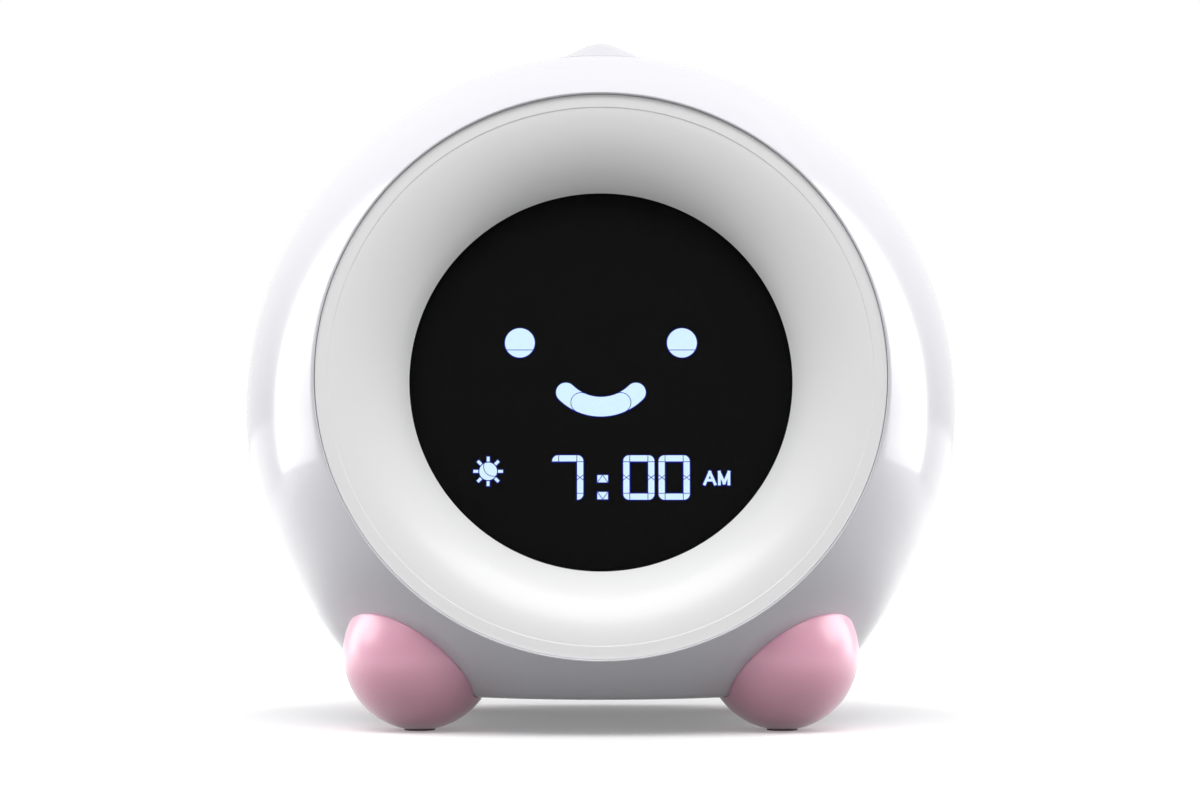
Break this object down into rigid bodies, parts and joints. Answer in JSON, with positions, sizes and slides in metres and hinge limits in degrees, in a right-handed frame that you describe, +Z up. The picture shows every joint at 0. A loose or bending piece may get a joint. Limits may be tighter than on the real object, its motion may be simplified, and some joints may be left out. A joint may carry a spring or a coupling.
{
  "type": "night light alarm clock",
  "caption": "Ball-shaped kids alarm clock with a round display window in a wide night light ring, a press button on top, rear keys, a battery door and ball feet",
  "frame": {"origin": "on the floor, under the middle of the width and depth", "axes": "+Z is up, the face looks along -Y and +X is to the right of someone who faces it"},
  "size_m": [0.164, 0.1064, 0.1567],
  "materials": {
    "shell_white": "gloss",
    "ring_white": "satin, translucent",
    "window_tint": "tinted gloss",
    "mask_black": "matte",
    "film_blue": "matte",
    "guide_white": "matte",
    "lit_figure": "lit",
    "board_green": "solder mask",
    "lamp_yellow": "clear resin",
    "grey_plastic": "matte",
    "black_plastic": "matte",
    "steel": "plain",
    "foot_pink": "satin",
    "key_pink": "satin",
    "rubber_grey": "matte",
    "can_aluminium": "sleeved can",
    "cone_paper": "coated paper",
    "magnet_grey": "plated",
    "wire_red": "insulation",
    "cell_label": "bare can",
    "contact_plate": "plated",
    "ribbon_white": "flat cable"
  },
  "bodies": {
    "case": {"front_shell": "shell_white", "rear_shell": "shell_white", "base_plate": "shell_white", "case_screws": "steel", "base_screws": "steel", "light_ring": "ring_white", "display_window": "window_tint", "display_mask": "mask_black", "blue_film": "film_blue", "light_guide": "guide_white", "face_segments": "lit_figure", "time_segments": "lit_figure", "day_night_segments": "lit_figure", "display_board": "board_green", "display_leds": "lamp_yellow", "ring_board": "board_green", "ring_leds": "lamp_yellow", "ring_reflector": "guide_white", "display_chassis": "grey_plastic", "display_screws": "steel", "button_spring": "steel", "button_guide": "guide_white", "guide_screws": "steel", "top_switch_board": "board_green", "top_switch": "black_plastic", "front_foot_left": "foot_pink", "front_foot_right": "foot_pink", "rear_foot_left": "foot_pink", "rear_foot_right": "foot_pink", "foot_pads": "rubber_grey", "foot_screws": "steel", "key_switches": "black_plastic", "main_board": "board_green", "main_board_screws": "steel", "processor": "black_plastic", "capacitors": "can_aluminium", "usb_socket": "steel", "slide_switch": "steel", "speaker_frame": "grey_plastic", "speaker_cone": "cone_paper", "speaker_magnet": "magnet_grey", "speaker_clamp": "guide_white", "speaker_screws": "steel", "speaker_wires": "wire_red", "battery_cells": "cell_label", "battery_springs": "steel", "battery_contacts": "contact_plate", "display_ribbon": "ribbon_white"},
    "top_button": {"top_button": "shell_white"},
    "slide_knob": {"slide_knob": "key_pink"},
    "battery_door": {"battery_door": "shell_white", "door_screw": "steel"},
    "hour_key": {"hour_key": "key_pink"},
    "minute_key": {"minute_key": "key_pink"},
    "alarm_key": {"alarm_key": "key_pink"},
    "nap_key": {"nap_key": "key_pink"},
    "light_key": {"light_key": "key_pink"},
    "sound_key": {"sound_key": "key_pink"},
    "volume_down_key": {"volume_down_key": "key_pink"},
    "volume_up_key": {"volume_up_key": "key_pink"}
  },
  "joints": [
    {"name": "button_press", "type": "slide", "parent": "case", "child": "top_button", "axis": [0, 0, -1], "range_m": [0, 0.0015], "stiffness_N_per_m": 400, "springref_m": -0.002, "deforming": ["button_spring"]},
    {"name": "hour_key_press", "type": "slide", "parent": "case", "child": "hour_key", "axis": [0, -1, 0], "range_m": [0, 0.0008], "stiffness_N_per_m": 1500, "springref_m": -0.0005},
    {"name": "minute_key_press", "type": "slide", "parent": "case", "child": "minute_key", "axis": [0, -1, 0], "range_m": [0, 0.0008], "stiffness_N_per_m": 1500, "springref_m": -0.0005},
    {"name": "alarm_key_press", "type": "slide", "parent": "case", "child": "alarm_key", "axis": [0, -1, 0], "range_m": [0, 0.0008], "stiffness_N_per_m": 1500, "springref_m": -0.0005},
    {"name": "nap_key_press", "type": "slide", "parent": "case", "child": "nap_key", "axis": [0, -1, 0], "range_m": [0, 0.0008], "stiffness_N_per_m": 1500, "springref_m": -0.0005},
    {"name": "light_key_press", "type": "slide", "parent": "case", "child": "light_key", "axis": [0, -1, 0], "range_m": [0, 0.0008], "stiffness_N_per_m": 1500, "springref_m": -0.0005},
    {"name": "sound_key_press", "type": "slide", "parent": "case", "child": "sound_key", "axis": [0, -1, 0], "range_m": [0, 0.0008], "stiffness_N_per_m": 1500, "springref_m": -0.0005},
    {"name": "volume_down_key_press", "type": "slide", "parent": "case", "child": "volume_down_key", "axis": [0, -1, 0], "range_m": [0, 0.0008], "stiffness_N_per_m": 1500, "springref_m": -0.0005},
    {"name": "volume_up_key_press", "type": "slide", "parent": "case", "child": "volume_up_key", "axis": [0, -1, 0], "range_m": [0, 0.0008], "stiffness_N_per_m": 1500, "springref_m": -0.0005},
    {"name": "alarm_slide", "type": "slide", "parent": "case", "child": "slide_knob", "axis": [1, 0, 0], "range_m": [0, 0.004]},
    {"name": "battery_door_hinge", "type": "hinge", "parent": "case", "child": "battery_door", "pos_m": [0, 0.02753, 0.0091], "axis": [1, 0, 0], "range_deg": [0, 80]}
  ]
}
